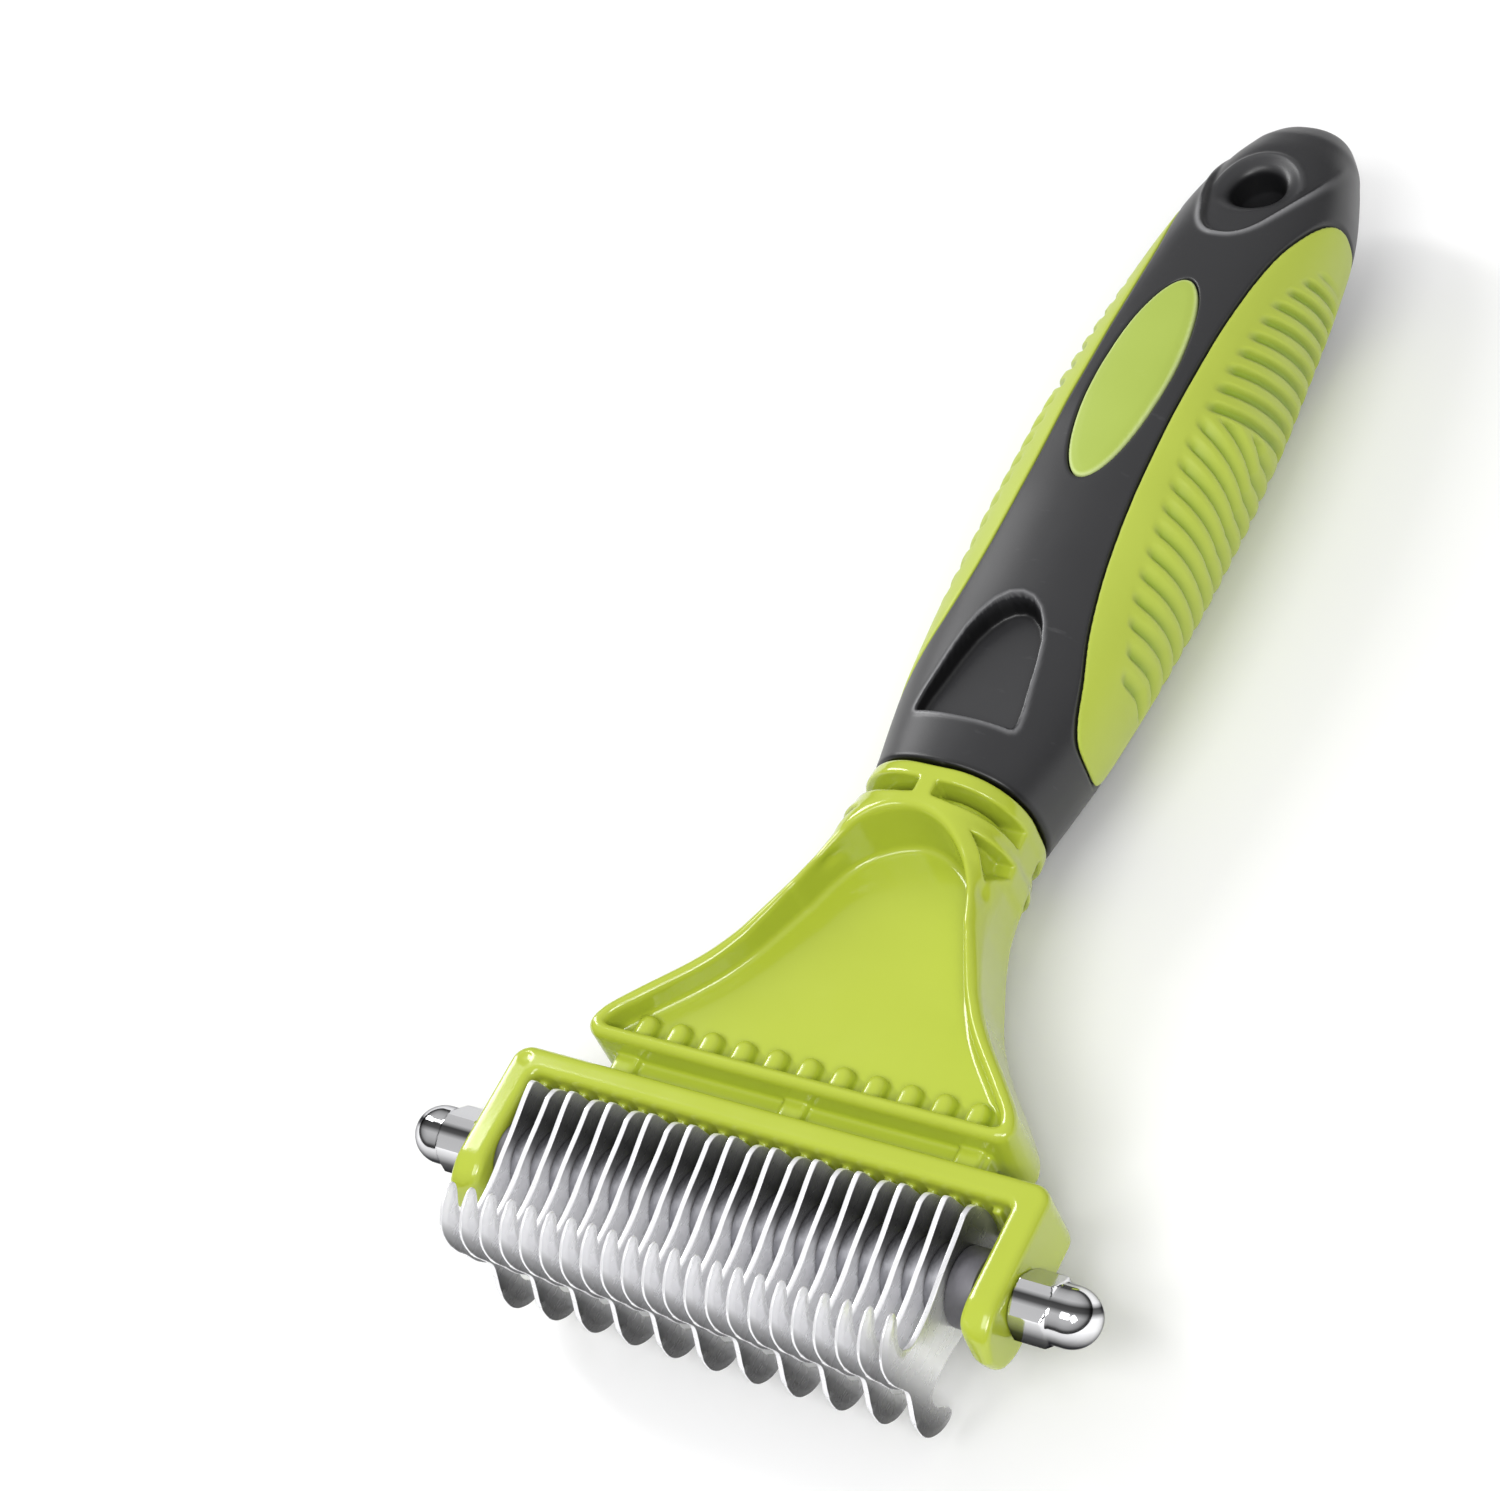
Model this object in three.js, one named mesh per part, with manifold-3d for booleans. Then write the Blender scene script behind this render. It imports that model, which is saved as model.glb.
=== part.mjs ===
// Double-sided dematting comb for long-haired pets: a row of steel blades clamped on a threaded rod
// across a plastic yoke, on a handle with soft grips.
//
// Everything is drawn in the axle frame, in millimetres: origin at the middle of the rod, +X along
// the rod, +Y up the handle to the hanging hole, +Z out of the face with the finer teeth. The group
// is shifted at the end so that the part's own origin is under its middle, on the surface it lies on.

import * as THREE from "three";
import { mergeVertices } from "three/addons/utils/BufferGeometryUtils.js";
import Module from "manifold-3d";

const wasm = await Module();
wasm.setup();

// ---------------------------------------------------------------- driving dimensions

// Blades and what is stacked between them on the rod
const BLADE_PAIRS = 11;
const BLADE_THICKNESS = 0.8;
const BLADE_PITCH = 3.1;
const STACK_GAP = 0.05;
const STACK_CENTRE = -0.85;
const SPACER_RADIUS = 4.8;
const SLEEVE_RADIUS = 5.2;
const ROD_RADIUS = 2.5;
const BORE_RADIUS = 2.9;
const ROUND_SIDES = 12;

// Yoke: the crossbar and the two ears that carry the rod
const YOKE_HALF_WIDTH = 40.2;
const YOKE_HALF_DEPTH = 5.6;
const EAR_THICKNESS = 4.4;
const EAR_KNEE = -6.8;
const EAR_FOOT = -9.5;
const EAR_FOOT_HALF_DEPTH = 1.7;
const EAR_FOOT_CHAMFER = 2.6;
const CROSSBAR_TOP = 13.5;
const CROSSBAR_BOTTOM = 9.7;
const YOKE_CORNER_RADIUS = 2.6;
const COMB_TOOTH_BOTTOM = 8.9;
const COMB_TOOTH_WIDTH = 1.3;

// Fan: the flared tray between the yoke and the handle, and the collar above it
const FAN_BOTTOM = 17.0;
const COLLAR_TOP = 65.0;
const RIM_WIDTH = 2.1;
const TRAY_BOTTOM = 18.9;
const TRAY_FLOOR = 2.2;
const ARCH_START = 44;
const ARCH_TOP = 58;
const TRAY_RIBS = 11;
const TRAY_RIB_PITCH = 5.0;
const TRAY_RIB_WIDTH = 2.6;
const TRAY_RIB_LENGTH = 3.4;
const TRAY_RIB_HEIGHT = 1.9;
const WEB_HALF_WIDTH = 28.4;
const WEB_HALF_DEPTH = 1.6;
const TAB_SPACING = 25.9;
const TAB_WIDTH = 3.8;
const TAB_HALF_DEPTH = 2.6;
const COLLAR_SLOT = { low: 59.7, high: 62.6, depth: 3.2, ribHalf: 1.4, sideHalf: 3.2 };
const SIDE_POCKET = { low: 52.6, high: 57.3, depth: 3.0, lowZ: 3.2, highZ: 9.6 };

// Tang of the yoke moulding, inside the handle
const TANG = { halfWidth: 6.5, halfDepth: 4.0, top: 150 };
const TANG_CLEARANCE = 0.35;

// Handle
const HANDLE_BOTTOM = 65.4;
const GRIP_DEPTH = 2.4;
const PIECE_GAP = 0.3;
const OVAL = { centre: 131.5, halfLength: 18.7, halfWidth: 5.7, floor: 12.7 };
const THUMB_REST = { bottom: 73, top: 93.3, halfWidth: 7.4, floor: 8.9 };
const HANG_HOLE = { centre: 172.5, radius: 4.0 };
const HANG_DISH = { low: 160.5, middle: 174, high: 184.5, halfWidth: 8.6, tilt: 0.19, floor: 9.5 };

// Cap nuts, size M5
const NUT_ACROSS_FLATS = 8;
const NUT_HEX_HEIGHT = 5.2;
const NUT_DOME_RADIUS = 3.9;
const NUT_HEIGHT = 10.6;
const NUT_BORE_DEPTH = 7.6;
const NUT_SEAT_GAP = 0.15;
const NUT_TURN = 0.3;
const ROD_IN_NUT = 6.5;

// Cross-sections along Y: y, half width, half depth, and how square the section is (2 is an ellipse)
const FAN_SECTIONS = [
  [FAN_BOTTOM, 32.0, 6.4, 9],
  [19.6, 31.9, 6.4, 9],
  [21.5, 31.2, 6.4, 9],
  [24, 29.0, 6.4, 9],
  [26, 27.2, 6.4, 9],
  [28, 25.3, 6.4, 9],
  [30, 23.4, 6.4, 8],
  [33, 20.9, 6.5, 8],
  [37, 18.4, 6.8, 7],
  [42, 16.2, 7.7, 6],
  [46, 14.6, 9.0, 4.5],
  [50, 13.6, 10.2, 3.4],
  [55, 12.9, 11.1, 2.8],
  [60, 12.5, 11.5, 2.5],
  [COLLAR_TOP, 12.2, 11.6, 2.3],
].map(([y, halfWidth, halfDepth, square]) => ({ y, halfWidth, halfDepth, square }));

const HANDLE_SQUARENESS = 2.3;
const HANDLE_SECTIONS = [
  [HANDLE_BOTTOM, 12.5, 11.7],
  [71, 13.7, 11.8],
  [81, 15.4, 12.1],
  [93, 16.3, 12.8],
  [110, 16.6, 14.3],
  [126, 16.4, 15.2],
  [141, 15.6, 14.8],
  [151, 14.8, 13.9],
  [161, 14.1, 12.6],
  [171, 13.0, 11.0],
  [176, 11.9, 10.1],
  [181, 10.2, 8.9],
  [186, 8.3, 6.9],
  [189, 6.2, 5.0],
  [190.4, 4.2, 3.3],
].map(([y, halfWidth, halfDepth]) => ({ y, halfWidth, halfDepth, square: HANDLE_SQUARENESS }));

// Inner edge of the side grips on the front and back of the handle: x, y
const GRIP_EDGE = [
  [13.6, 75.6],
  [12.9, 79],
  [12.0, 84],
  [10.3, 91.2],
  [8.9, 100.7],
  [8.1, 112.5],
  [7.9, 125],
  [8.0, 143.4],
  [8.7, 156.9],
  [10.1, 165.3],
  [11.4, 170.6],
  [12.3, 173.0],
];

// Half of the blade's outline, z and y: down the front edge of the shank, round the notch, out to
// the tip of the hook and back under the crown to the middle
const HOOK_OUTLINE = [
  [6.3, -0.5],
  [5.1, -5.6],
  [4.6, -9.4],
  [4.9, -11.4],
  [5.8, -12.6],
  [7.2, -13.0],
  [8.8, -12.6],
  [10.5, -11.6],
  [11.8, -11.1],
  [12.6, -11.9],
  [12.4, -13.2],
  [11.2, -15.1],
  [9.2, -16.6],
  [7.0, -17.1],
  [4.4, -16.9],
  [0, -15.6],
];
const DOMED_TOP = [
  [-7.6, 5.4],
  [-7.2, 7.0],
  [-5.4, 8.3],
  [-2.6, 9.2],
  [2.6, 9.2],
  [5.4, 8.3],
  [7.2, 7.0],
  [7.6, 5.4],
];
const FLAT_TOP = [[-7.4, 6.0], [-7.0, 9.0], [0, 9.3], [7.8, 7.5], [8.1, 6.4]];
const SINGLE_BACK = [[-3.4, -13.9], [-4.7, -10.4], [-5.1, -5.6], [-6.3, -0.5]];

// ---------------------------------------------------------------- materials

const GREEN = new THREE.MeshStandardMaterial({ color: 0xafc240, roughness: 0.25, metalness: 0 });
const SOFT_GREEN = new THREE.MeshStandardMaterial({ color: 0xb8c94e, roughness: 0.55, metalness: 0 });
const CHARCOAL = new THREE.MeshStandardMaterial({ color: 0x434343, roughness: 0.5, metalness: 0 });
const STEEL = new THREE.MeshStandardMaterial({ color: 0xc4c4c8, roughness: 0.22, metalness: 1 });
const SPACER_STEEL = new THREE.MeshStandardMaterial({ color: 0x9a9a9e, roughness: 0.35, metalness: 1 });
const CHROME = new THREE.MeshStandardMaterial({ color: 0xdcdce0, roughness: 0.08, metalness: 1 });

// ---------------------------------------------------------------- geometry helpers

// A closed geometry as a solid that can be joined and cut.
function solid(geometry) {
  const bare = geometry.clone();
  bare.deleteAttribute("normal");
  bare.deleteAttribute("uv");
  const merged = mergeVertices(bare, 1e-4);
  return new wasm.Manifold(
    new wasm.Mesh({
      numProp: 3,
      vertProperties: merged.attributes.position.array,
      triVerts: new Uint32Array(merged.index.array),
    }),
  );
}

function geometryOf(manifold) {
  const mesh = manifold.getMesh();
  const geometry = new THREE.BufferGeometry();
  geometry.setAttribute("position", new THREE.BufferAttribute(mesh.vertProperties, 3));
  geometry.setIndex(new THREE.BufferAttribute(mesh.triVerts, 1));
  return geometry;
}

function signedPower(value, exponent) {
  return Math.abs(value) < 1e-9 ? 0 : Math.sign(value) * Math.abs(value) ** exponent;
}

// A closed body through rounded-rectangle sections along Y, made smaller all round by inset.
function loft(sections, segments, inset = 0) {
  const ends = [sections[0].y, sections[sections.length - 1].y];
  const profile = [
    new THREE.Vector2(0, ends[0]),
    ...sections.map((s) => new THREE.Vector2(1, s.y)),
    new THREE.Vector2(0, ends[1]),
  ];
  const geometry = new THREE.LatheGeometry(profile, segments);
  const position = geometry.attributes.position;
  for (let i = 0; i < position.count; i++) {
    const section = sections[(i % profile.length) - 1];
    if (!section) continue;
    const exponent = 2 / section.square;
    position.setX(i, Math.max(0.5, section.halfWidth - inset) * signedPower(position.getX(i), exponent));
    position.setZ(i, Math.max(0.5, section.halfDepth - inset) * signedPower(position.getZ(i), exponent));
  }
  return solid(geometry);
}

function box(x0, x1, y0, y1, z0, z1) {
  const geometry = new THREE.BoxGeometry(x1 - x0, y1 - y0, z1 - z0);
  return solid(geometry.translate((x0 + x1) / 2, (y0 + y1) / 2, (z0 + z1) / 2));
}

function shapeFrom(points) {
  return new THREE.Shape(points.map(([u, v]) => new THREE.Vector2(u, v)));
}

// An outline in x and y, extruded from z0 to z1.
function plateInXY(shape, z0, z1) {
  return new THREE.ExtrudeGeometry(shape, { depth: z1 - z0, bevelEnabled: false }).translate(0, 0, z0);
}

// An outline in z and y, extruded along X and centred on x.
function plateInZY(shape, thickness, x = 0) {
  const geometry = new THREE.ExtrudeGeometry(shape, { depth: thickness, bevelEnabled: false });
  geometry.translate(0, 0, -thickness / 2);
  const zYX = new THREE.Matrix4().makeBasis(
    new THREE.Vector3(0, 0, 1),
    new THREE.Vector3(0, 1, 0),
    new THREE.Vector3(-1, 0, 0),
  );
  return geometry.applyMatrix4(zYX).translate(x, 0, 0);
}

function rodAlongX(radius, x0, x1, sides = ROUND_SIDES) {
  const geometry = new THREE.CylinderGeometry(radius, radius, x1 - x0, sides);
  return geometry.rotateZ(Math.PI / 2).translate((x0 + x1) / 2, 0, 0);
}

function circlePath(radius, sides = ROUND_SIDES) {
  const path = new THREE.Path();
  for (let i = 0; i < sides; i++) {
    const angle = (2 * Math.PI * i) / sides;
    const place = [radius * Math.cos(angle), radius * Math.sin(angle)];
    if (i) path.lineTo(...place);
    else path.moveTo(...place);
  }
  return path;
}

const mirrorX = (points) => points.map(([x, y]) => [-x, y]).reverse();
const bothFaces = (manifold) => manifold.add(manifold.mirror([0, 0, 1]));
const bothSides = (manifold) => manifold.add(manifold.mirror([1, 0, 0]));

// Half width of the fan at height y, between its sections.
function fanHalfWidth(y) {
  const above = FAN_SECTIONS.findIndex((s) => s.y >= y);
  const [low, high] = [FAN_SECTIONS[Math.max(0, above - 1)], FAN_SECTIONS[above]];
  const span = high.y - low.y || 1;
  return low.halfWidth + ((high.halfWidth - low.halfWidth) * (y - low.y)) / span;
}

// ---------------------------------------------------------------- yoke, fan and collar

// The front outline of the yoke: a crossbar with an ear at each end. Its upper corners are rounded
// and the ears' inner corners cut off at the foot.
function yokeOutline() {
  const w = YOKE_HALF_WIDTH;
  const r = YOKE_CORNER_RADIUS;
  const c = EAR_FOOT_CHAMFER;
  const inner = w - EAR_THICKNESS;
  const right = [[inner, CROSSBAR_BOTTOM], [inner, EAR_FOOT + c], [inner + c + 1, EAR_FOOT - 1], [w, EAR_FOOT - 1]];
  for (let i = 0; i <= 4; i++) {
    const angle = (i * Math.PI) / 8;
    right.push([w - r + r * Math.cos(angle), CROSSBAR_TOP - r + r * Math.sin(angle)]);
  }
  return shapeFrom([...right, ...mirrorX(right)]);
}

function yoke() {
  const d = YOKE_HALF_DEPTH;
  const f = EAR_FOOT_HALF_DEPTH;
  const side = [[-f, EAR_FOOT], [f, EAR_FOOT], [d, EAR_KNEE], [d, CROSSBAR_TOP + 1], [-d, CROSSBAR_TOP + 1], [-d, EAR_KNEE]];
  const front = solid(plateInXY(yokeOutline(), -d - 1, d + 1));
  const profile = solid(plateInZY(shapeFrom(side), 2 * YOKE_HALF_WIDTH + 2));
  return front.intersect(profile);
}

// Small teeth under the crossbar that stand between the blades and stop them turning.
function combTeeth() {
  const count = 2 * BLADE_PAIRS + 1;
  let teeth = null;
  for (let i = 0; i < count; i++) {
    const x = STACK_CENTRE + (i - (count - 1) / 2) * BLADE_PITCH;
    const halfWidth = COMB_TOOTH_WIDTH / 2;
    const depth = YOKE_HALF_DEPTH - 0.6;
    const tooth = box(x - halfWidth, x + halfWidth, COMB_TOOTH_BOTTOM, CROSSBAR_BOTTOM + 0.5, -depth, depth);
    teeth = teeth ? teeth.add(tooth) : tooth;
  }
  return teeth;
}

// Half width of the tray's mouth at height y: the fan's, less the rim measured square to its edge.
function mouthHalfWidth(y) {
  const slope = fanHalfWidth(y + 1) - fanHalfWidth(y - 1);
  return fanHalfWidth(y) - RIM_WIDTH * Math.hypot(1, slope / 2);
}

// The outline of the tray's mouth, closed by an arch at the top.
function trayOutline() {
  const right = [[mouthHalfWidth(TRAY_BOTTOM) - 0.8, TRAY_BOTTOM]];
  for (const { y } of FAN_SECTIONS) {
    if (y > TRAY_BOTTOM + 1 && y < ARCH_START) right.push([mouthHalfWidth(y), y]);
  }
  const archHalfWidth = mouthHalfWidth(ARCH_START);
  for (let i = 0; i < 6; i++) {
    const angle = (i * Math.PI) / 12;
    right.push([archHalfWidth * Math.cos(angle), ARCH_START + (ARCH_TOP - ARCH_START) * Math.sin(angle)]);
  }
  return shapeFrom([...right, [0, ARCH_TOP], ...mirrorX(right)]);
}

// Round-topped ribs that stand on the tray's floor along its lower edge.
function trayRibs() {
  let ribs = null;
  for (let i = 0; i < TRAY_RIBS; i++) {
    const x = (i - (TRAY_RIBS - 1) / 2) * TRAY_RIB_PITCH;
    const w = TRAY_RIB_WIDTH / 2;
    const y0 = TRAY_BOTTOM - 0.5;
    const y1 = TRAY_BOTTOM + TRAY_RIB_LENGTH;
    const outline = [[x - w, y0], [x + w, y0], [x + w, y1 - w], [x + w / 2, y1], [x - w / 2, y1], [x - w, y1 - w]];
    const rib = solid(plateInXY(shapeFrom(outline), TRAY_FLOOR - 0.5, TRAY_FLOOR + TRAY_RIB_HEIGHT));
    ribs = ribs ? ribs.add(rib) : rib;
  }
  return ribs;
}

// Lightening slots round the collar, left solid by a rib in front and a broad one at each side.
function collarSlots() {
  const { low, high, depth, ribHalf, sideHalf } = COLLAR_SLOT;
  const ring = box(-20, 20, low, high, -20, 20).subtract(loft(FAN_SECTIONS, 24, depth));
  return ring.subtract(box(-ribHalf, ribHalf, low, high, -20, 20)).subtract(box(-20, 20, low, high, -sideHalf, sideHalf));
}

function sidePockets() {
  const { low, high, depth, lowZ, highZ } = SIDE_POCKET;
  const outline = [[lowZ, high], [lowZ, (low + high) / 2], [(lowZ + highZ) / 2, low], [highZ, high]];
  const pocket = solid(plateInZY(shapeFrom(outline), 20, 20)).subtract(loft(FAN_SECTIONS, 24, depth));
  return bothFaces(bothSides(pocket));
}

function headFrame() {
  const tray = solid(plateInXY(trayOutline(), TRAY_FLOOR, 20));
  const web = box(-WEB_HALF_WIDTH, WEB_HALF_WIDTH, CROSSBAR_TOP - 1, FAN_BOTTOM + 1, -WEB_HALF_DEPTH, WEB_HALF_DEPTH);
  const tang = box(-TANG.halfWidth, TANG.halfWidth, COLLAR_TOP - 1, TANG.top, -TANG.halfDepth, TANG.halfDepth);
  let frame = loft(FAN_SECTIONS, 28).subtract(bothFaces(tray)).add(bothFaces(trayRibs()));
  frame = frame.subtract(collarSlots()).subtract(sidePockets());
  frame = frame.add(web).add(yoke()).add(combTeeth()).add(tang);
  for (const i of [-1, 0, 1]) {
    const [x, w] = [i * TAB_SPACING, TAB_WIDTH / 2];
    frame = frame.add(box(x - w, x + w, CROSSBAR_TOP - 1, FAN_BOTTOM + 1, -TAB_HALF_DEPTH, TAB_HALF_DEPTH));
  }
  const rodHole = solid(rodAlongX(BORE_RADIUS, -YOKE_HALF_WIDTH - 1, YOKE_HALF_WIDTH + 1));
  return frame.subtract(rodHole);
}

// ---------------------------------------------------------------- handle, grips and inlays

function ovalOutline(margin) {
  const shape = new THREE.Shape();
  shape.absellipse(0, OVAL.centre, OVAL.halfWidth - margin, OVAL.halfLength - margin, 0, 2 * Math.PI);
  return new THREE.Shape(shape.getPoints(10).slice(0, -1));
}

// The side grip's region in front view, from its inner edge out past the handle's side.
function gripOutline(margin) {
  const edge = GRIP_EDGE.map(([x, y], i) => {
    const endward = (i < 2) - (i > GRIP_EDGE.length - 3);
    return [x + margin, y + endward * margin];
  });
  return shapeFrom([...edge, [25, edge[edge.length - 1][1]], [25, edge[0][1]]].reverse());
}

function thumbRestOutline() {
  const { bottom, top, halfWidth } = THUMB_REST;
  const shoulder = bottom + 6;
  const right = [[halfWidth - 0.8, bottom], [halfWidth, bottom + 0.8], [halfWidth, shoulder]];
  for (let i = 1; i < 6; i++) {
    const angle = (i * Math.PI) / 12;
    right.push([halfWidth * Math.cos(angle), shoulder + (top - shoulder) * Math.sin(angle)]);
  }
  return shapeFrom([...right, [0, top], ...mirrorX(right)]);
}

// The shallow drop-shaped dish round the hanging hole.
function hangDish() {
  const { low, middle, high, halfWidth, tilt, floor } = HANG_DISH;
  const right = [[2.4, low - middle], [5.2, -9.5], [halfWidth, -2], [halfWidth, 2], [5.5, high - middle - 2], [2, high - middle]];
  const geometry = plateInXY(shapeFrom([...right, ...mirrorX(right)]), 0, 15);
  return solid(geometry.rotateX(-tilt).translate(0, middle, floor));
}

function handleBody() {
  const whole = loft(HANDLE_SECTIONS, 28);
  const core = loft(HANDLE_SECTIONS, 28, GRIP_DEPTH);
  const gripPocket = solid(plateInXY(gripOutline(0), -20, 20)).subtract(core);
  const ovalPocket = solid(plateInXY(ovalOutline(0), OVAL.floor, 20));
  const thumbRest = solid(plateInXY(thumbRestOutline(), THUMB_REST.floor, 20));
  const hole = new THREE.CylinderGeometry(HANG_HOLE.radius, HANG_HOLE.radius, 40, 16);
  const c = TANG_CLEARANCE;
  const [w, d] = [TANG.halfWidth + c, TANG.halfDepth + c];
  const socket = box(-w, w, HANDLE_BOTTOM - 1, TANG.top + c, -d, d);
  return whole
    .subtract(bothSides(gripPocket))
    .subtract(bothFaces(ovalPocket.add(thumbRest).add(hangDish())))
    .subtract(solid(hole.rotateX(Math.PI / 2).translate(0, HANG_HOLE.centre, 0)))
    .subtract(socket);
}

function sideGrip() {
  const core = loft(HANDLE_SECTIONS, 28, GRIP_DEPTH - PIECE_GAP);
  return loft(HANDLE_SECTIONS, 28).intersect(solid(plateInXY(gripOutline(PIECE_GAP), -20, 20))).subtract(core);
}

function ovalInlay() {
  return loft(HANDLE_SECTIONS, 28).intersect(solid(plateInXY(ovalOutline(PIECE_GAP), OVAL.floor + PIECE_GAP, 20)));
}

// ---------------------------------------------------------------- blades, stack and nuts

function bladeGeometry(outline) {
  const shape = shapeFrom(outline);
  shape.holes.push(circlePath(BORE_RADIUS));
  return plateInZY(shape, BLADE_THICKNESS);
}

// A blade with a hook on the front only, and a flat top.
function singleBlade() {
  return bladeGeometry([...FLAT_TOP, ...HOOK_OUTLINE, ...SINGLE_BACK]);
}

// A blade with a hook on both sides, and a domed top.
function doubleBlade() {
  return bladeGeometry([...DOMED_TOP, ...HOOK_OUTLINE, ...mirrorX(HOOK_OUTLINE).slice(1)]);
}

function ring(outerRadius, length) {
  const shape = new THREE.Shape(circlePath(outerRadius).getPoints());
  shape.holes.push(circlePath(BORE_RADIUS));
  return plateInZY(shape, length);
}

// A hexagon cap nut with its seat at x = 0 and its dome towards +X.
function capNut() {
  const corner = NUT_ACROSS_FLATS / Math.sqrt(3);
  const hex = rodAlongX(corner, 0, NUT_HEX_HEIGHT, 6).rotateX(NUT_TURN);
  const profile = [new THREE.Vector2(0, 1), new THREE.Vector2(NUT_DOME_RADIUS, 1)];
  const straight = NUT_HEIGHT - NUT_DOME_RADIUS;
  for (let i = 0; i <= 5; i++) {
    const angle = (i * Math.PI) / 10;
    const radius = i === 5 ? 0 : NUT_DOME_RADIUS * Math.cos(angle);
    profile.push(new THREE.Vector2(radius, straight + NUT_DOME_RADIUS * Math.sin(angle)));
  }
  const dome = new THREE.LatheGeometry(profile, 18).rotateZ(-Math.PI / 2);
  const bore = solid(rodAlongX(BORE_RADIUS, -1, NUT_BORE_DEPTH));
  return solid(hex).add(solid(dome)).subtract(bore);
}

// ---------------------------------------------------------------- assembly

const group = new THREE.Group();

function place(name, geometry, material, x = 0) {
  const mesh = new THREE.Mesh(geometry, material);
  mesh.name = name;
  mesh.position.x = x;
  group.add(mesh);
}

const two = (n) => String(n).padStart(2, "0");

place("yoke_and_collar", geometryOf(headFrame()), GREEN);
place("handle_body", geometryOf(handleBody()), CHARCOAL);

const grip = sideGrip();
place("side_grip_right", geometryOf(grip), SOFT_GREEN);
place("side_grip_left", geometryOf(grip.mirror([1, 0, 0])), SOFT_GREEN);

const inlay = ovalInlay();
place("oval_inlay_front", geometryOf(inlay), SOFT_GREEN);
place("oval_inlay_back", geometryOf(inlay.mirror([0, 0, 1])), SOFT_GREEN);

// The stack on the rod, from left to right: single and double blades in turn, a spacer between each two.
const single = singleBlade();
const double = doubleBlade();
const spacer = ring(SPACER_RADIUS, BLADE_PITCH - BLADE_THICKNESS - 2 * STACK_GAP);
const firstBlade = STACK_CENTRE - (BLADE_PAIRS - 0.5) * BLADE_PITCH;
const lastBlade = firstBlade + (2 * BLADE_PAIRS - 1) * BLADE_PITCH;
for (let i = 0; i < 2 * BLADE_PAIRS; i++) {
  const x = firstBlade + i * BLADE_PITCH;
  const number = two(Math.floor(i / 2) + 1);
  if (i % 2) place("double_blade_" + number, double, STEEL, x);
  else place("single_blade_" + number, single, STEEL, x);
  if (i) place("spacer_" + two(i), spacer, SPACER_STEEL, x - BLADE_PITCH / 2);
}

// The end spacer and the longer sleeve fill what is left between the stack and the ears.
const earInside = YOKE_HALF_WIDTH - EAR_THICKNESS;
function placeEndSpacer(name, radius, x0, x1) {
  place(name, ring(radius, x1 - x0 - 2 * STACK_GAP), SPACER_STEEL, (x0 + x1) / 2);
}
placeEndSpacer("end_spacer_left", SPACER_RADIUS, -earInside, firstBlade - BLADE_THICKNESS / 2);
placeEndSpacer("end_sleeve_right", SLEEVE_RADIUS, lastBlade + BLADE_THICKNESS / 2, earInside);

const nutSeat = YOKE_HALF_WIDTH + NUT_SEAT_GAP;
place("threaded_rod", rodAlongX(ROD_RADIUS, -nutSeat - ROD_IN_NUT, nutSeat + ROD_IN_NUT), CHROME);
const nut = capNut();
place("cap_nut_right", geometryOf(nut), CHROME, nutSeat);
place("cap_nut_left", geometryOf(nut.mirror([1, 0, 0])), CHROME, -nutSeat);

// The part's own frame: origin in the middle of its length and width, on the surface it lies on.
const handleTop = HANDLE_SECTIONS[HANDLE_SECTIONS.length - 1].y;
const crownBottom = Math.min(...HOOK_OUTLINE.map(([, y]) => y));
const halfDepth = Math.max(...HANDLE_SECTIONS.map((s) => s.halfDepth));
group.position.set(0, -(handleTop + crownBottom) / 2, halfDepth);

export default group;
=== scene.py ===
"""Looks of the double-sided dematting comb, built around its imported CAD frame."""

import math

import bpy
import numpy as np
import openvdb
from mathutils import Matrix, Vector


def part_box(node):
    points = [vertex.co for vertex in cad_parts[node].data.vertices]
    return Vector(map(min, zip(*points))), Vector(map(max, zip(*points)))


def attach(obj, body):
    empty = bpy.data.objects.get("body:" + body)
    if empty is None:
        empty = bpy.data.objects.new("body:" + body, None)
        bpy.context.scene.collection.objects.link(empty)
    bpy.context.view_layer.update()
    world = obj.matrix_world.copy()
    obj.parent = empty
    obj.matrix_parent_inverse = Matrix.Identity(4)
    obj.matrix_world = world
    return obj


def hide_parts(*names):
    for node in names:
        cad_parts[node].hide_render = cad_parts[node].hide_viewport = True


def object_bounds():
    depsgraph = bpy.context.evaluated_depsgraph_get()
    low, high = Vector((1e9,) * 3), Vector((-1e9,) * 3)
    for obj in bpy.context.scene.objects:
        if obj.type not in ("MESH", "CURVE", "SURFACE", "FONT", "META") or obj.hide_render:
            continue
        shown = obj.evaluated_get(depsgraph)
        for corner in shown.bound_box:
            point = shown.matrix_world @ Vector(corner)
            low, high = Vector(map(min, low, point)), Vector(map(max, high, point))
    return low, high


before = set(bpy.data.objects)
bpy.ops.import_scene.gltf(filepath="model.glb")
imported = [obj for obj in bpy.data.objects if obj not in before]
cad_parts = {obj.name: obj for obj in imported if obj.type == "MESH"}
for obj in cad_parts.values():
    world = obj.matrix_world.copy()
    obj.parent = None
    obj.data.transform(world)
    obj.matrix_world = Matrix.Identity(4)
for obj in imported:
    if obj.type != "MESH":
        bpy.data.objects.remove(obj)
cad_box = [list(corner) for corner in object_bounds()]

MM = 0.001
rod_low, rod_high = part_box("threaded_rod")
AXLE = (rod_low + rod_high) / 2  # middle of the rod: the origin of every shape below, in millimetres

# ------------------------------------------------------------------ sizes, in millimetres

FINE = 0.3  # grid step for the mouldings

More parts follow.
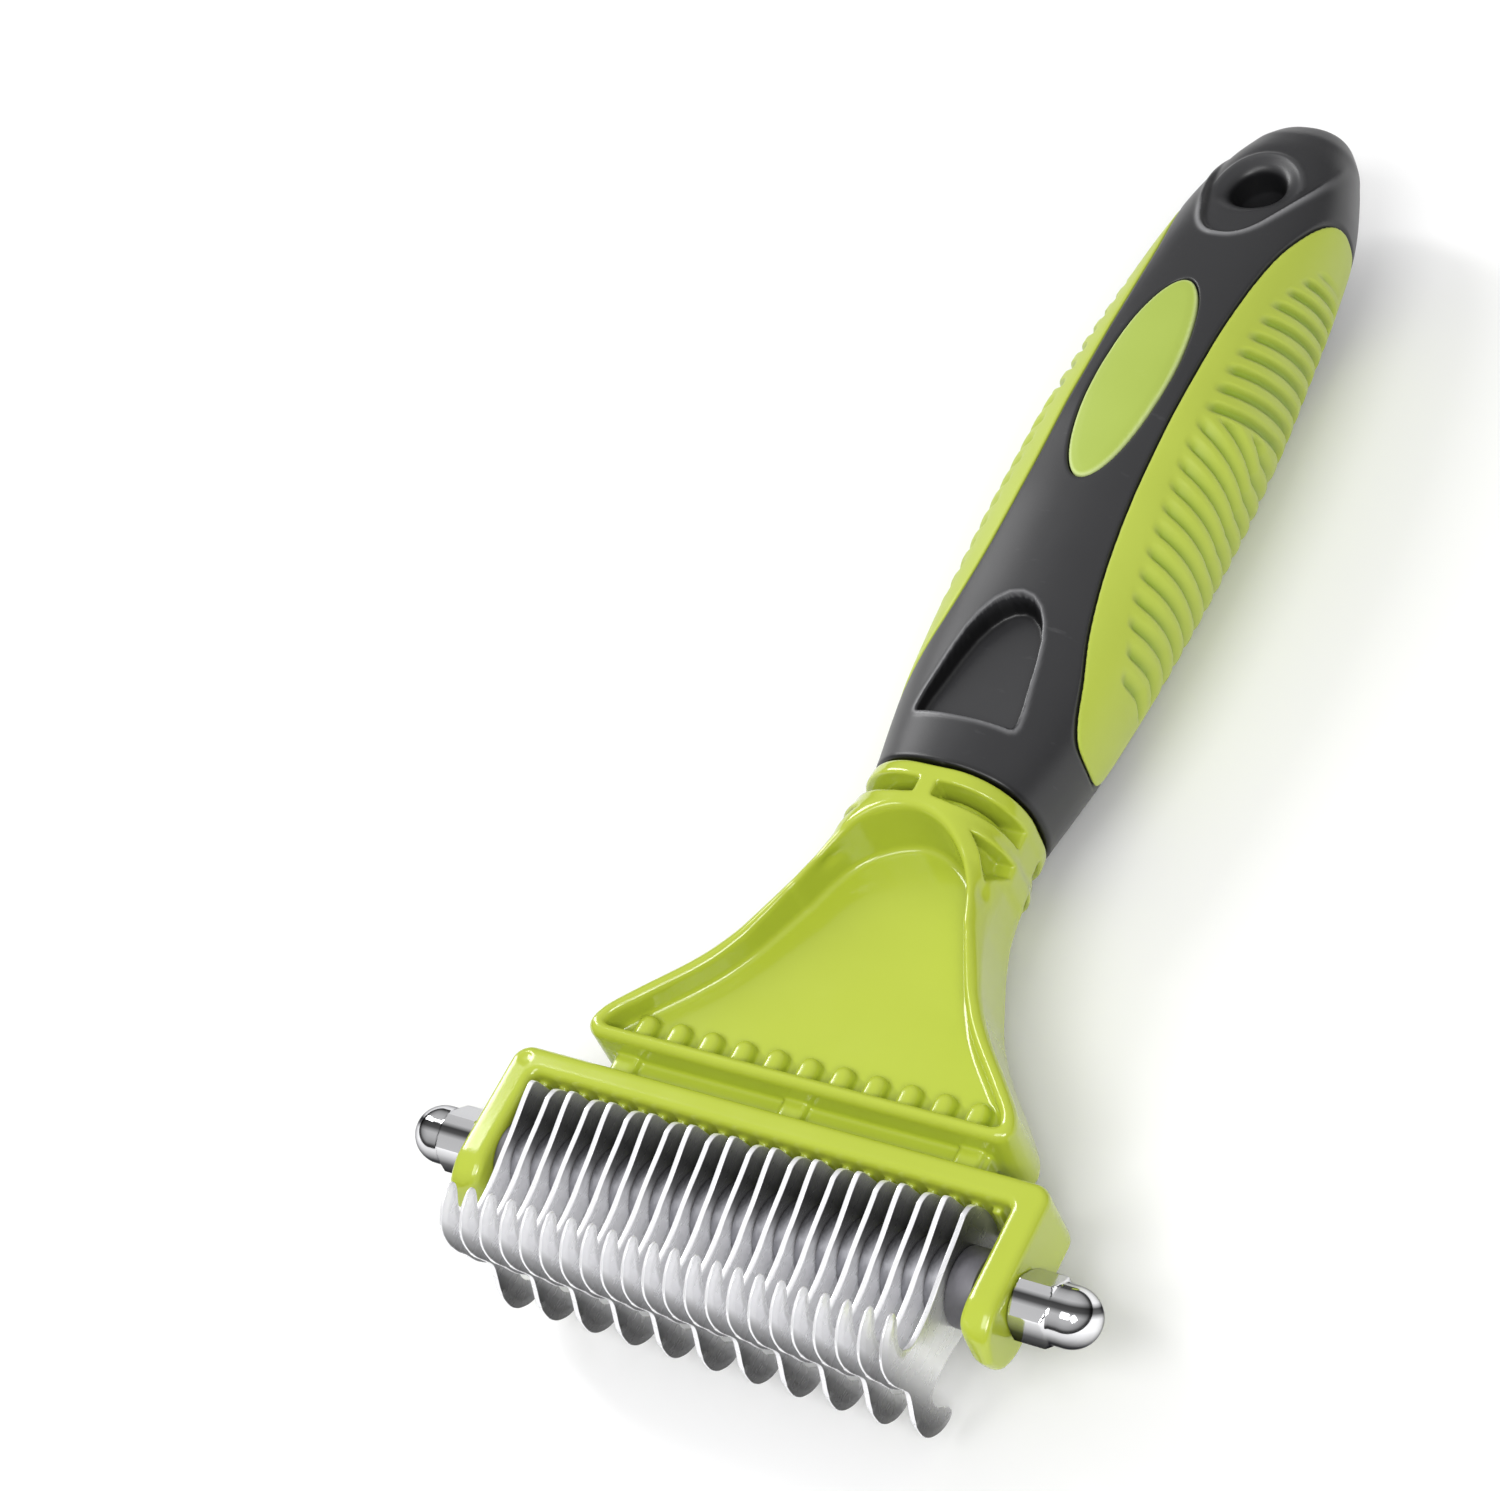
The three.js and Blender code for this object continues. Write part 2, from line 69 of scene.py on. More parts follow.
YOKE_HALF_WIDTH = 40.2
YOKE_HALF_DEPTH = 5.6
EAR_THICKNESS = 4.4
CROSSBAR_TOP = 13.5
CROSSBAR_BOTTOM = 9.7
EAR_FOOT, EAR_SHOULDER = -9.5, -6.8  # heights of the foot and of the top of its bevels
EAR_NARROW, EAR_WIDE = 1.7, 5.6  # half depths there
COMB_TEETH = 23
BLADE_PITCH = 3.1
STACK_CENTRE = -0.85  # the blades sit a little left of the yoke's middle
MOULD_MARK = (-37.9, 11.3, 0.8)  # the round mark on the crossbar: place and radius

FAN_BOTTOM = 17.0
COLLAR_TOP = 65.0
RIM = 2.1
TRAY_BOTTOM = 18.9
TRAY_FLOOR = 2.2
TRAY_RIBS = 11
TRAY_RIB_PITCH = 5.0
WEB_BOTTOM, WEB_TOP = 12.5, 18.0
ARCH_START = 44.0
ARCH_TOP = 58.0
# how far inside the rim the arch is, and the height
ARCH = [(0.55, 45.0), (1.2, 47.0), (2.0, 49.2), (3.1, 51.5), (4.6, 53.7), (6.9, 55.8), (10.0, 57.4)]
# height, half width, half depth, and how round the edge between front and side is
FAN = [
    (17, 32.0, 6.4, 1.3),
    (19.6, 31.9, 6.4, 1.3),
    (21.5, 31.2, 6.4, 1.3),
    (24, 29.0, 6.4, 1.3),
    (26, 27.2, 6.4, 1.3),
    (28, 25.3, 6.4, 1.3),
    (30, 23.4, 6.4, 1.3),
    (33, 20.9, 6.5, 1.4),
    (37, 18.4, 6.8, 1.7),
    (42, 16.2, 7.7, 2.6),
    (46, 14.6, 9.0, 4.4),
    (50, 13.6, 10.2, 6.8),
    (55, 12.9, 11.1, 9.0),
    (60, 12.5, 11.5, 9.6),
    (65, 12.2, 11.6, 9.8),
]

HANDLE_BOTTOM = 65.4
HANDLE_TOP = 190.4
# height, half width, half depth
HANDLE = [
    (65.4, 12.5, 11.7),
    (71, 13.7, 11.8),
    (81, 15.4, 12.1),
    (93, 16.3, 12.8),
    (110, 16.6, 14.3),
    (126, 16.4, 15.2),
    (141, 15.6, 14.8),
    (151, 14.8, 13.9),
    (161, 14.1, 12.6),
    (171, 13.0, 11.0),
    (176, 11.9, 10.1),
    (181, 10.2, 8.9),
    (186, 8.3, 6.9),
    (189, 6.2, 5.0),
    (190.4, 4.2, 3.3),
    (192, 2.0, 1.5),
]
GRIP_EDGE = [
    (14.6, 75.3),
    (13.6, 76.4),
    (12.9, 79),
    (12.0, 84),
    (10.3, 91.2),
    (8.9, 100.7),
    (8.1, 112.5),
    (7.9, 125),
    (8.0, 143.4),
    (8.7, 156.9),
    (10.1, 165.3),
    (11.4, 170.2),
    (12.5, 172.4),
    (14.0, 173.2),
]
GRIP_DEPTH = 2.4
GAP = 0.22
# where the grip's ribs start: height, and the angle from the side towards the face, in degrees
RIB_START = [
    (84, 8), (88, 19), (92, 25), (95, 31), (99, 36), (103, 39), (109, 43), (116, 46),
    (123, 49), (139, 48), (145, 45), (151, 42), (156, 35), (161, 25), (166, 8),
]
RIB_PITCH = 3.55
RIB_FIRST = 88.1
# height, and how far a rib rises per degree as it runs round to the side
RIB_SLOPE = [(80, 0.05), (92, 0.04), (103, 0.0), (116, -0.033), (127, -0.06)]
UPPER_SLOPE = 0.11
UPPER_FIRST = 130.2
# where the upper ribs turn back down, in degrees behind the side, and how softly
UPPER_TURN = 28
UPPER_SOFT = 12
OVAL = (131.5, 5.7, 18.7, 12.7)  # centre, half width, half length, floor
THUMB = [
    (7.0, 73), (7.5, 73.25), (7.7, 74), (7.55, 76.2), (6.95, 79.7), (6.35, 83.5),
    (5.6, 87), (4.6, 89.6), (3.3, 91.6), (1.7, 92.9), (0, 93.3),
]
THUMB_FLOOR = 8.9
DISH = [
    (0, 160.4), (1.6, 160.6), (3.2, 161.6), (4.6, 163.5), (5.8, 166.2), (7.2, 170),
    (8.4, 174), (9.0, 178), (8.9, 181), (8.0, 184), (5, 186), (0, 187),
]
HOLE = (172.5, 4.0)  # centre, radius

# The blade's outline, depth and height: front edge of the shank, notch, hook and crown
HOOK = [
    (6.3, -0.5), (5.7, -3.2), (5.1, -5.6), (4.75, -7.6), (4.6, -9.4), (4.65, -10.7), (5.0, -11.8),
    (5.8, -12.65), (6.9, -13.0), (7.9, -12.9), (8.9, -12.5), (10.0, -11.8), (10.9, -11.3), (11.7, -11.1),
    (12.35, -11.35), (12.6, -12.1), (12.4, -13.2), (11.9, -14.3), (11.0, -15.4), (9.9, -16.3), (8.5, -16.9),
    (7.0, -17.1), (5.5, -17.05), (4.0, -16.8), (2.0, -16.1), (0, -15.6),
]
DOMED = [
    (-6.85, 2.4), (-7.3, 4.4), (-7.55, 5.7), (-7.2, 7.0), (-6.4, 7.8), (-5.2, 8.35), (-2.8, 9.1), (0, 9.3),
    (2.8, 9.1), (5.2, 8.35), (6.4, 7.8), (7.2, 7.0), (7.55, 5.7), (7.3, 4.4), (6.85, 2.4),
]
FLAT = [
    (-6.9, 3.0), (-7.3, 6.0), (-7.4, 8.0), (-6.8, 8.9), (-5.6, 9.2), (-3, 9.3), (0, 9.25), (3, 8.7),
    (6, 8.0), (7.4, 7.6), (8.0, 7.1), (8.05, 6.2), (7.7, 4.4), (7.0, 2.0),
]
SINGLE_BACK = [
    (-1.6, -15.0), (-3.4, -13.9), (-4.3, -12.4), (-4.7, -10.4), (-4.8, -8.0), (-5.1, -5.6), (-6.3, -0.5),
]
BLADE_HALF = 0.4
BLADE_BEVEL = 0.12
BORE = 2.9

# ------------------------------------------------------------------ distance fields


def cut(a, b, r):
    """Inside both a and b, the edge between them rounded to radius r."""
    p, q = np.maximum(a + r, 0), np.maximum(b + r, 0)
    return np.minimum(np.maximum(a + r, b + r), 0) + np.sqrt(p * p + q * q) - r


def join(a, b, r):
    """Inside a or b, the corner between them filled to radius r."""
    return -cut(-a, -b, r)


def profile(y, table, column=1, sigma=1.0):
    """A table's column as a smooth curve over y, and its slope."""
    heights = [row[0] for row in table]
    values = [row[column] for row in table]
    step = 0.1
    fine = np.arange(heights[0] - 5, heights[-1] + 5, step)
    reach = int(4 * sigma / step)
    kernel = np.exp(-0.5 * (np.arange(-reach, reach + 1) * step / sigma) ** 2)
    kernel /= kernel.sum()
    raw = np.pad(np.interp(fine, heights, values), reach, mode="edge")
    smooth = np.convolve(raw, kernel, "valid")
    slope = np.gradient(smooth, step)
    return np.interp(y, fine, smooth).astype(np.float32), np.interp(y, fine, slope).astype(np.float32)


def curve_through(points, closed=True, per=6):
    """A smooth line through the points, as Catmull-Rom pieces."""
    p = np.array(points, float)
    n = len(p)
    out = []
    for i in range(n if closed else n - 1):
        a, b, c, d = (p[(i + k) % n] if closed else p[min(max(i + k, 0), n - 1)] for k in (-1, 0, 1, 2))
        for t in np.arange(per) / per:
            bend, twist = 2 * a - 5 * b + 4 * c - d, 3 * b - a - 3 * c + d
            out.append(0.5 * (2 * b + (c - a) * t + bend * t * t + twist * t**3))
    if not closed:
        out.append(p[-1])
    return np.array(out)


def inside_polygon(u, v, points):
    """Signed distance from the points (u, v) to a closed polygon, negative inside."""
    u, v = np.broadcast_arrays(u, v)
    shape = u.shape
    u, v = u.ravel().astype(np.float32), v.ravel().astype(np.float32)
    best = np.full(u.shape, 1e9, np.float32)
    sign = np.ones(u.shape, np.float32)
    p = np.array(points, np.float32)
    for (ax, ay), (bx, by) in zip(p, np.roll(p, -1, axis=0)):
        ex, ey = bx - ax, by - ay
        wx, wy = u - ax, v - ay
        t = np.clip((wx * ex + wy * ey) / max(ex * ex + ey * ey, 1e-12), 0, 1)
        best = np.minimum(best, (wx - ex * t) ** 2 + (wy - ey * t) ** 2)
        crosses = (ay > v) != (by > v)
        if ay != by:
            sign = np.where(crosses & (u < (v - ay) * ex / ey + ax), -sign, sign)
    return (np.sqrt(best) * sign).reshape(shape)


def segment(u, v, a, b, r):
    """Distance to a round-ended bar from a to b, of half width r."""
    ex, ey = b[0] - a[0], b[1] - a[1]
    wx, wy = u - a[0], v - a[1]
    t = np.clip((wx * ex + wy * ey) / (ex * ex + ey * ey), 0, 1)
    return np.sqrt((wx - ex * t) ** 2 + (wy - ey * t) ** 2) - r


class Block:
    """A block of sample points, in millimetres from the middle of the rod."""

    def __init__(self, low, high, step=FINE):
        self.low, self.step = np.array(low, float), step
        self.count = tuple(int(math.ceil((h - l) / step)) + 1 for l, h in zip(low, high))
        x, y, z = ((l + step * np.arange(n)).astype(np.float32) for l, n in zip(low, self.count))
        self.x, self.y, self.z = x[:, None, None], y[None, :, None], z[None, None, :]

    def true(self, field):
        """The field scaled to a distance."""
        slopes = np.gradient(np.broadcast_to(field, self.count), self.step)
        return field / np.maximum(np.sqrt(sum(s * s for s in slopes)), 0.05)

    def sample(self, fields, points):
        q = (points - self.low) / self.step
        i = np.clip(np.floor(q).astype(int), 0, np.array(self.count) - 2)
        f = q - i
        out = [0.0] * len(fields)
        for corner in np.ndindex(2, 2, 2):
            c = np.array(corner)
            weight = np.prod(np.where(c, f, 1 - f), axis=1)
            at = tuple((i + c).T)
            out = [o + weight * field[at] for o, field in zip(out, fields)]
        return out

    def skin(self, name, field, tone=None):
        """The surface where field is zero, as a smooth closed mesh object.

        Tone paints shade into the colour where it is positive and a highlight where it is negative.
        """
        band = 5 * self.step
        field = np.clip(np.broadcast_to(field, self.count), -band, band)
        field = np.ascontiguousarray(field, dtype=np.float32)
        grid = openvdb.FloatGrid(background=band)
        grid.copyFromArray(field)
        points, quads = grid.convertToQuads(isovalue=0.0)
        points = points.astype(float) * self.step + self.low
        slopes = np.gradient(field, self.step)
        for _ in range(3):
            value, *slope = self.sample([field, *slopes], points)
            slope = np.stack(slope, axis=1)
            size = np.maximum((slope * slope).sum(axis=1), 0.25)
            points -= np.clip(value / size, -0.3, 0.3)[:, None] * slope
        _, *slope = self.sample([field, *slopes], points)
        normals = np.stack(slope, axis=1)
        normals /= np.maximum(np.linalg.norm(normals, axis=1), 1e-6)[:, None]
        corner = points[quads]
        facing = np.cross(corner[:, 2] - corner[:, 0], corner[:, 3] - corner[:, 1])
        if (facing * normals[quads[:, 0]]).sum() < 0:
            quads = quads[:, ::-1]
        obj = mesh_object(name, points, quads, normals)
        if tone is not None:
            values = self.sample([np.broadcast_to(tone, self.count)], points)[0]
            layer = obj.data.attributes.new("tone", "FLOAT", "POINT")
            layer.data.foreach_set("value", values.astype(np.float32))
        return obj


def mesh_object(name, points, quads, normals=None):
    """A mesh from millimetre points about the middle of the rod, and four-sided faces."""
    mesh = bpy.data.meshes.new(name)
    quads = np.ascontiguousarray(quads, dtype=np.int32)
    mesh.vertices.add(len(points))
    mesh.vertices.foreach_set("co", (np.array(AXLE) + np.asarray(points) * MM).astype(np.float32).ravel())
    mesh.loops.add(quads.size)
    mesh.loops.foreach_set("vertex_index", quads.ravel())
    mesh.polygons.add(len(quads))
    mesh.polygons.foreach_set("loop_start", np.arange(0, quads.size, 4, dtype=np.int32))
    mesh.polygons.foreach_set("use_smooth", np.ones(len(quads), bool))
    mesh.update(calc_edges=True)
    if normals is None:
        mesh.set_sharp_from_angle(angle=math.radians(32))
    else:
        mesh.normals_split_custom_set_from_vertices(normals.astype(np.float32).tolist())
    obj = bpy.data.objects.new(name, mesh)
    bpy.context.scene.collection.objects.link(obj)
    return obj


# ------------------------------------------------------------------ yoke, fan and collar


def fan_side(x, y):
    half, slope = profile(y, FAN)
    return (np.abs(x) - half) / np.sqrt(1 + slope * slope)


def mouth_outline():
    """The tray's mouth: along inside the rim, and round an arch at the top."""
    heights = np.arange(TRAY_BOTTOM, ARCH_START, 0.5)
    half, slope = profile(heights, FAN)
    half = half - RIM * np.sqrt(1 + slope * slope)
    corner = [(half[0] - 1.0, TRAY_BOTTOM), (half[0] - 0.3, TRAY_BOTTOM + 0.25)]
    arch = [(half[-1] - inwards, height) for inwards, height in ARCH]
    before = [(half[-2], heights[-2]), (half[-1], heights[-1])]
    beyond = (ARCH[-1][0] - half[-1], ARCH[-1][1])
    arch = curve_through([*before, *arch, (0, ARCH_TOP), beyond], False, 5)
    arch = [(px, py) for px, py in arch[6:] if px > 0.01]
    right = [*corner, *list(zip(half, heights))[1:], *arch]
    left = [(-px, py) for px, py in reversed(right)]
    return [*right, (0, ARCH_TOP), *left]


def build_head():
    b = Block((-41.3, -10.6, -13.0), (41.3, 66.2, 13.0))
    x, y, z = b.x, b.y, b.z
    ax, az = np.abs(x), np.abs(z)

    # the fan: front outline, side outline and the roundness between them, which grows into the collar
    depth, depth_slope = profile(y, FAN, 2, 1.6)
    round_edge, _ = profile(y, FAN, 3, 1.6)
    outline = cut(fan_side(x, y), FAN_BOTTOM - y, 2.4)
    swell = 0.55 * np.exp(-(((y - 56.2) / 2.2) ** 4)) + 0.15 * np.exp(-(((y - 63.8) / 1.2) ** 4))
    fan = cut(outline - swell, (az - depth) / np.sqrt(1 + depth_slope**2), round_edge)
    fan = b.true(fan)
    fan = cut(fan, y - COLLAR_TOP, 0.6)

    # the tray's mouth, its floor and its ribs
    mouth = inside_polygon(x, y, mouth_outline())
    pocket = cut(mouth + 0.05 * (depth - az), TRAY_FLOOR - az, 0.9)
    head = cut(fan, -pocket, 0.95)
    ribs = np.float32(1e3)
    for i in range(TRAY_RIBS):
        at = (i - TRAY_RIBS // 2) * TRAY_RIB_PITCH
        ribs = np.minimum(ribs, segment(x, y, (at, TRAY_BOTTOM + 0.5), (at, TRAY_BOTTOM + 2.6), 1.5))
    head = join(head, cut(ribs, az - TRAY_FLOOR - 2.1, 1.25), 0.45)

    # slots and pockets of the collar
    near_skin = -(fan + 3.0)
    slot = cut(np.abs(y - 61.3) - 1.35, 2.5 - mouth, 0.5)
    slot = cut(cut(slot, np.maximum(1.35 - ax, 3.2 - az), 0.3), near_skin, 0.3)
    head = cut(head, -slot, 0.35)
    side_pocket = inside_polygon(az, y, [(3.2, 57.2), (3.2, 55.4), (6.6, 52.4), (9.8, 57.2)])
    side_pocket = cut(np.maximum(side_pocket, np.maximum(6 - ax, 1.8 - mouth)), near_skin, 0.4)
    head = cut(head, -side_pocket, 0.4)
    dent = 0.45 * np.exp(-(((y - 50.4) / 1.5) ** 2) - ((az - 6.4) / 0.9) ** 2) * (ax > 6)
    head = head + dent

    # the web and its tabs
    web_height = np.maximum(WEB_BOTTOM - y, y - WEB_TOP)
    web = cut(np.maximum(ax - 28.4, web_height), az - 1.6, 0.3)
    head = join(head, web, 0.5)
    tabs = np.float32(1e3)
    for at in (-25.9, 0, 25.9):
        tabs = np.minimum(tabs, np.abs(x - at) - 1.9)
    tabs = cut(np.maximum(tabs, web_height), az - 2.6, 0.7)
    head = join(head, tabs, 0.3)

    # crossbar and ears
    w, inner = YOKE_HALF_WIDTH, YOKE_HALF_WIDTH - EAR_THICKNESS
    front = cut(ax - w, y - CROSSBAR_TOP, 2.6)
    front = cut(front, -cut(ax - inner, y - CROSSBAR_BOTTOM, 0.9), 0.4)
    slope = np.maximum((ax - inner + y + 6.9) / math.sqrt(2), y + 2)
    front = cut(front, -slope, 0.8)
    run, rise = EAR_WIDE - EAR_NARROW, EAR_SHOULDER - EAR_FOOT
    bevel = ((az - EAR_NARROW) * rise - (y - EAR_FOOT) * run) / math.hypot(run, rise)
    side = cut(az - EAR_WIDE, cut(EAR_FOOT - y, bevel, 2.6), 3.0)
    yoke = cut(front, side, 1.1)
    head = join(head, yoke, 0.25)
    teeth = np.float32(1e3)
    for i in range(COMB_TEETH):
        teeth = np.minimum(teeth, np.abs(x - STACK_CENTRE - (i - COMB_TEETH // 2) * BLADE_PITCH) - 0.6)
    teeth = cut(cut(teeth, np.maximum(8.9 - y, y - 10.2), 0.2), az - 3.4, 0.25)
    head = join(head, teeth, 0.15)
    mark_x, mark_y, mark_radius = MOULD_MARK
    mark = np.sqrt((x - mark_x) ** 2 + (y - mark_y) ** 2) - mark_radius
    mark = np.maximum(mark, YOKE_HALF_DEPTH - 0.12 - az)
    head = cut(head, -mark, 0.1)
    head = cut(head, -(np.sqrt(y * y + z * z) - BORE), 0.2)
    return b.skin("green_head", head)


# ------------------------------------------------------------------ handle, grips and inlays


def handle_field(b):
    near_tip = smooth_step((b.y - 182) / 4)
    sizes = []
    for column in (1, 2):
        soft, crisp = (profile(b.y, HANDLE, column, sigma)[0] for sigma in (1.8, 0.6))
        sizes.append((1 - near_tip) * soft + near_tip * crisp)
    half, depth = sizes
    n = 2.3
    field = ((np.abs(b.x) / half) ** n + (np.abs(b.z) / depth) ** n) ** (1 / n) - 1
    field = b.true(field)
    return cut(cut(field, b.y - HANDLE_TOP, 1.2), HANDLE_BOTTOM - b.y, 0.5)


def grip_outline():
    edge = curve_through(GRIP_EDGE, closed=False, per=8)
    return [*edge, (26, GRIP_EDGE[-1][1] + 0.4), (26, GRIP_EDGE[0][1] - 0.4)]


def smooth_step(t):
    t = np.clip(t, 0, 1)
    return t * t * (3 - 2 * t)


def rib_height(b):
    """Height of the grip's ribs, 0 in the grooves and 1 on the crests, and how strong they are."""
    angle = np.degrees(np.arctan2(np.abs(b.z), np.abs(b.x)))
    y = np.broadcast_to(b.y, b.count)
    start = np.interp(y, *zip(*RIB_START))
    run = np.clip(start - angle, 0, None)
    slope = np.interp(y, *zip(*RIB_SLOPE))
    lower = (y - slope * run - RIB_FIRST) / RIB_PITCH
    turned = np.degrees(np.arctan2(np.broadcast_to(b.z, b.count), np.broadcast_to(np.abs(b.x), b.count)))
    climb = start + UPPER_TURN - np.hypot(turned + UPPER_TURN, UPPER_SOFT)
    upper = (y - UPPER_SLOPE * climb - UPPER_FIRST) / RIB_PITCH
    t = lower - np.floor(lower)
    scale = np.where(t < 0.76, smooth_step(t / 0.55), 1 - smooth_step((t - 0.76) / 0.24))
    wave = smooth_step(0.75 - 0.75 * np.cos(2 * math.pi * upper))
    is_upper = smooth_step((upper + 0.62) / 0.25)
    height = scale * (1 - is_upper) + wave * is_upper
    ends = smooth_step((y - 85.5) / 4) * smooth_step((165 - y) / 5)
    strength = smooth_step((start - angle) / 9) * ends
    return height, strength


def build_handle():
    b = Block((-17.6, 64.4, -16.3), (17.6, 192.0, 16.3), 0.26)
    x, y, z = b.x, b.y, b.z
    az = np.abs(z)
    outer = handle_field(b)
    grip = inside_polygon(np.abs(x), y, grip_outline())
    floor = -(outer + GRIP_DEPTH)

    # the dish round the hanging hole, deepest along its lower edge, and the rim of the hole
    dish_left = [(-u, v) for u, v in DISH[-2:0:-1]]
    dish2d = inside_polygon(x, y, curve_through([*DISH[1:], *dish_left, DISH[0]]))
    fade = smooth_step((182 - y) / 14)
    lowered = outer + 0.75 * fade * smooth_step(-dish2d / 0.9)
    ridge = np.exp(-(((dish2d - 0.2) / 0.38) ** 2)) * smooth_step((184 - y) / 5)
    bead = 0.24 * ridge
    # shine: a painted highlight along the dish's ridge, fading out upwards and sooner on the left
    shine = 0.9 * ridge * fade * smooth_step((170 - y + np.clip(4 * x, 0, 40)) / 5)
    body = lowered - bead
    centre, radius = HOLE
    out = np.sqrt(x * x + (y - centre) ** 2)
    rim = np.exp(-(((out - radius - 2.6) / 0.45) ** 2)) * smooth_step((y - centre + 2.5) / 4)
    body = body + 0.9 * smooth_step((radius + 2.6 - out) / 2.6) - 0.24 * rim
    hole = out - radius
    body = cut(body, -hole, 1.1)

    # the thumb rest, with a fine raised rim
    half = [*THUMB, *[(-u, v) for u, v in reversed(THUMB[:-1])]]
    thumb = inside_polygon(x, y, half)
    # lip raises a fine rim and, through the tone below, carries a painted highlight
    lip = np.exp(-(((thumb - 0.25) / 0.3) ** 2)) * (az > 6)
    body = body - 0.14 * lip
    wall = thumb + 0.22 * (11.8 - az)
    body = cut(body, -cut(wall, THUMB_FLOOR - az, 0.3), 0.22)
    # pit, bed, hollow and inside are painted shade: on the thumb rest's walls, in the corner at their foot,
    # along the inside of the dish's edge, and in and round the hole
    pit = smooth_step((0.05 - thumb) / 0.3) * smooth_step((az - THUMB_FLOOR - 0.15) / 0.3)
    bed = smooth_step((0.7 - np.abs(wall + 0.1)) / 0.6) * (az < THUMB_FLOOR + 0.6) * (thumb < 0)
    hollow = 0.8 * smooth_step((-0.1 - dish2d) / 0.3) * smooth_step((dish2d + 1.5) / 1.2) * fade
    inside = smooth_step((radius + 1.2 - out) / 2.0)
    # foot: a dark band along the handle's lower end
    foot = smooth_step((HANDLE_BOTTOM + 0.75 - y) / 0.3)
    tone = np.maximum(np.maximum(pit, 0.8 * bed), np.maximum(hollow, inside)) * (az > 4)
    tone = np.maximum(tone, foot)
    # elsewhere, painted highlights along the thumb rest's lip, the dish's ridge and the hole's rim
    tone = np.where(tone > 0.05, tone, -np.maximum(np.maximum(0.6 * lip, shine), 0.12 * rim) * (az > 4))

    # seats of the oval inlays and the side grips
    oval_y, oval_w, oval_l, oval_z = OVAL
    oval = np.sqrt((x / oval_w) ** 2 + ((y - oval_y) / oval_l) ** 2)
    stretch = np.sqrt((x * oval_l / oval_w) ** 2 + ((y - oval_y) * oval_w / oval_l) ** 2)
    oval = (oval - 1) * oval_w * oval_l / np.maximum(stretch, 0.5)
    body = cut(body, -np.maximum(oval, oval_z - az), 0.22)
    body = cut(body, -np.maximum(grip, floor), 0.22)
    socket = np.maximum(np.maximum(np.abs(x) - 6.85, az - 4.35), y - 150.4)
    body = np.maximum(body, -socket)
    handle = b.skin("charcoal_handle", body, tone)

    # the side grips: a smooth border and ribs round the side
    height, strength = rib_height(b)
    soft = outer + strength * (1.05 - 1.1 * height)
    soft = cut(cut(soft, grip + GAP, 0.4), floor + GAP, 0.2)
    pieces = [("grip_right", np.maximum(soft, 2 - x)), ("grip_left", np.maximum(soft, 2 + x))]
    # the tone paints shade into the grooves between the ribs
    grips = [b.skin(name, field, 0.85 * strength * (1 - height) ** 3) for name, field in pieces]

    # the oval inlays, very slightly crowned
    inlay = outer - 0.12 * smooth_step(-oval / 2.5)
    inlay = cut(inlay, oval + GAP, 0.3)
    # edge paints a highlight in a band along the rim of each oval
    edge = -smooth_step((oval + GAP + 0.55) / 0.4)
    inlays = []
    for name, way in (("oval_front", z), ("oval_back", -z)):
        inlays.append(b.skin(name, np.maximum(inlay, oval_z + GAP - way), edge))
    return handle, grips, inlays


# ------------------------------------------------------------------ blades, spacers, rod and nuts


def strips(rings):
    """Quads between successive closed rings of equal length."""
    quads = []
    for r in range(len(rings) - 1):
        a, c = np.array(rings[r]), np.array(rings[r + 1])
        quads.append(np.stack([a, c, np.roll(c, -1), np.roll(a, -1)], axis=1))
    return np.concatenate(quads)


def build_blade(name, outline):
    """A stamped blade in the plane x = 0, its edges rounded and the mouth of its hook ground thinner."""
    loop = curve_through(outline, per=4)
    area = 0.5 * np.sum(loop[:, 0] * np.roll(loop[:, 1], -1) - np.roll(loop[:, 0], -1) * loop[:, 1])
    if area < 0:
        loop = loop[::-1].copy()
    b = Block((-1.0, -18.0, -13.6), (1.0, 10.2, 13.6), 0.1)
    shape = inside_polygon(b.z[0, 0][None, :], b.y[0, :, 0][:, None], loop)[None]
    bore = BORE - np.sqrt(b.y**2 + b.z**2)
    ground = 0.2 * smooth_step((shape + 1.3) / 1.3)
    near_hook = smooth_step((np.abs(b.z) - 4.5) / 1.5) * smooth_step((-9.0 - b.y) / 1.5)
    half = BLADE_HALF - ground * near_hook
    blade = cut(shape, np.abs(b.x) - half, BLADE_BEVEL)
    blade = cut(blade, bore, BLADE_BEVEL)
    return b.skin(name, blade)


def angles(sides):
    return np.linspace(0, 2 * math.pi, sides, endpoint=False)


def circle(px, radius, angle):
    """Points round the rod at px; the radius may differ from one angle to the next."""
    return np.stack([np.full(len(angle), px), radius * np.cos(angle), radius * np.sin(angle)], axis=1)


def numbered(circles):
    """Each circle's point numbers, and all the points."""
    points = np.concatenate(circles)
    return np.arange(len(points)).reshape(len(circles), -1), points


def lathe(name, section, sides=64):
    """A closed ring turned about the rod, from the (x, radius) points round its section."""
    rings, points = numbered([circle(px, radius, angles(sides)) for px, radius in section])
    return mesh_object(name, points, strips([*rings, rings[0]]))


def ring_profile(half, radius, chamfer=0.25):
    """Section of a spacer with eased edges."""
    c = chamfer
    return [(-half, BORE + c), (-half, radius - c), (-half + 0.3 * c, radius - 0.3 * c), (-half + c, radius),
            (half - c, radius), (half - 0.3 * c, radius - 0.3 * c), (half, radius - c), (half, BORE + c),
            (half - c, BORE), (-half + c, BORE)]


def smooth_min(a, b, k):
    h = np.clip(0.5 + 0.5 * (b - a) / k, 0, 1)
    return b + (a - b) * h - k * h * (1 - h)


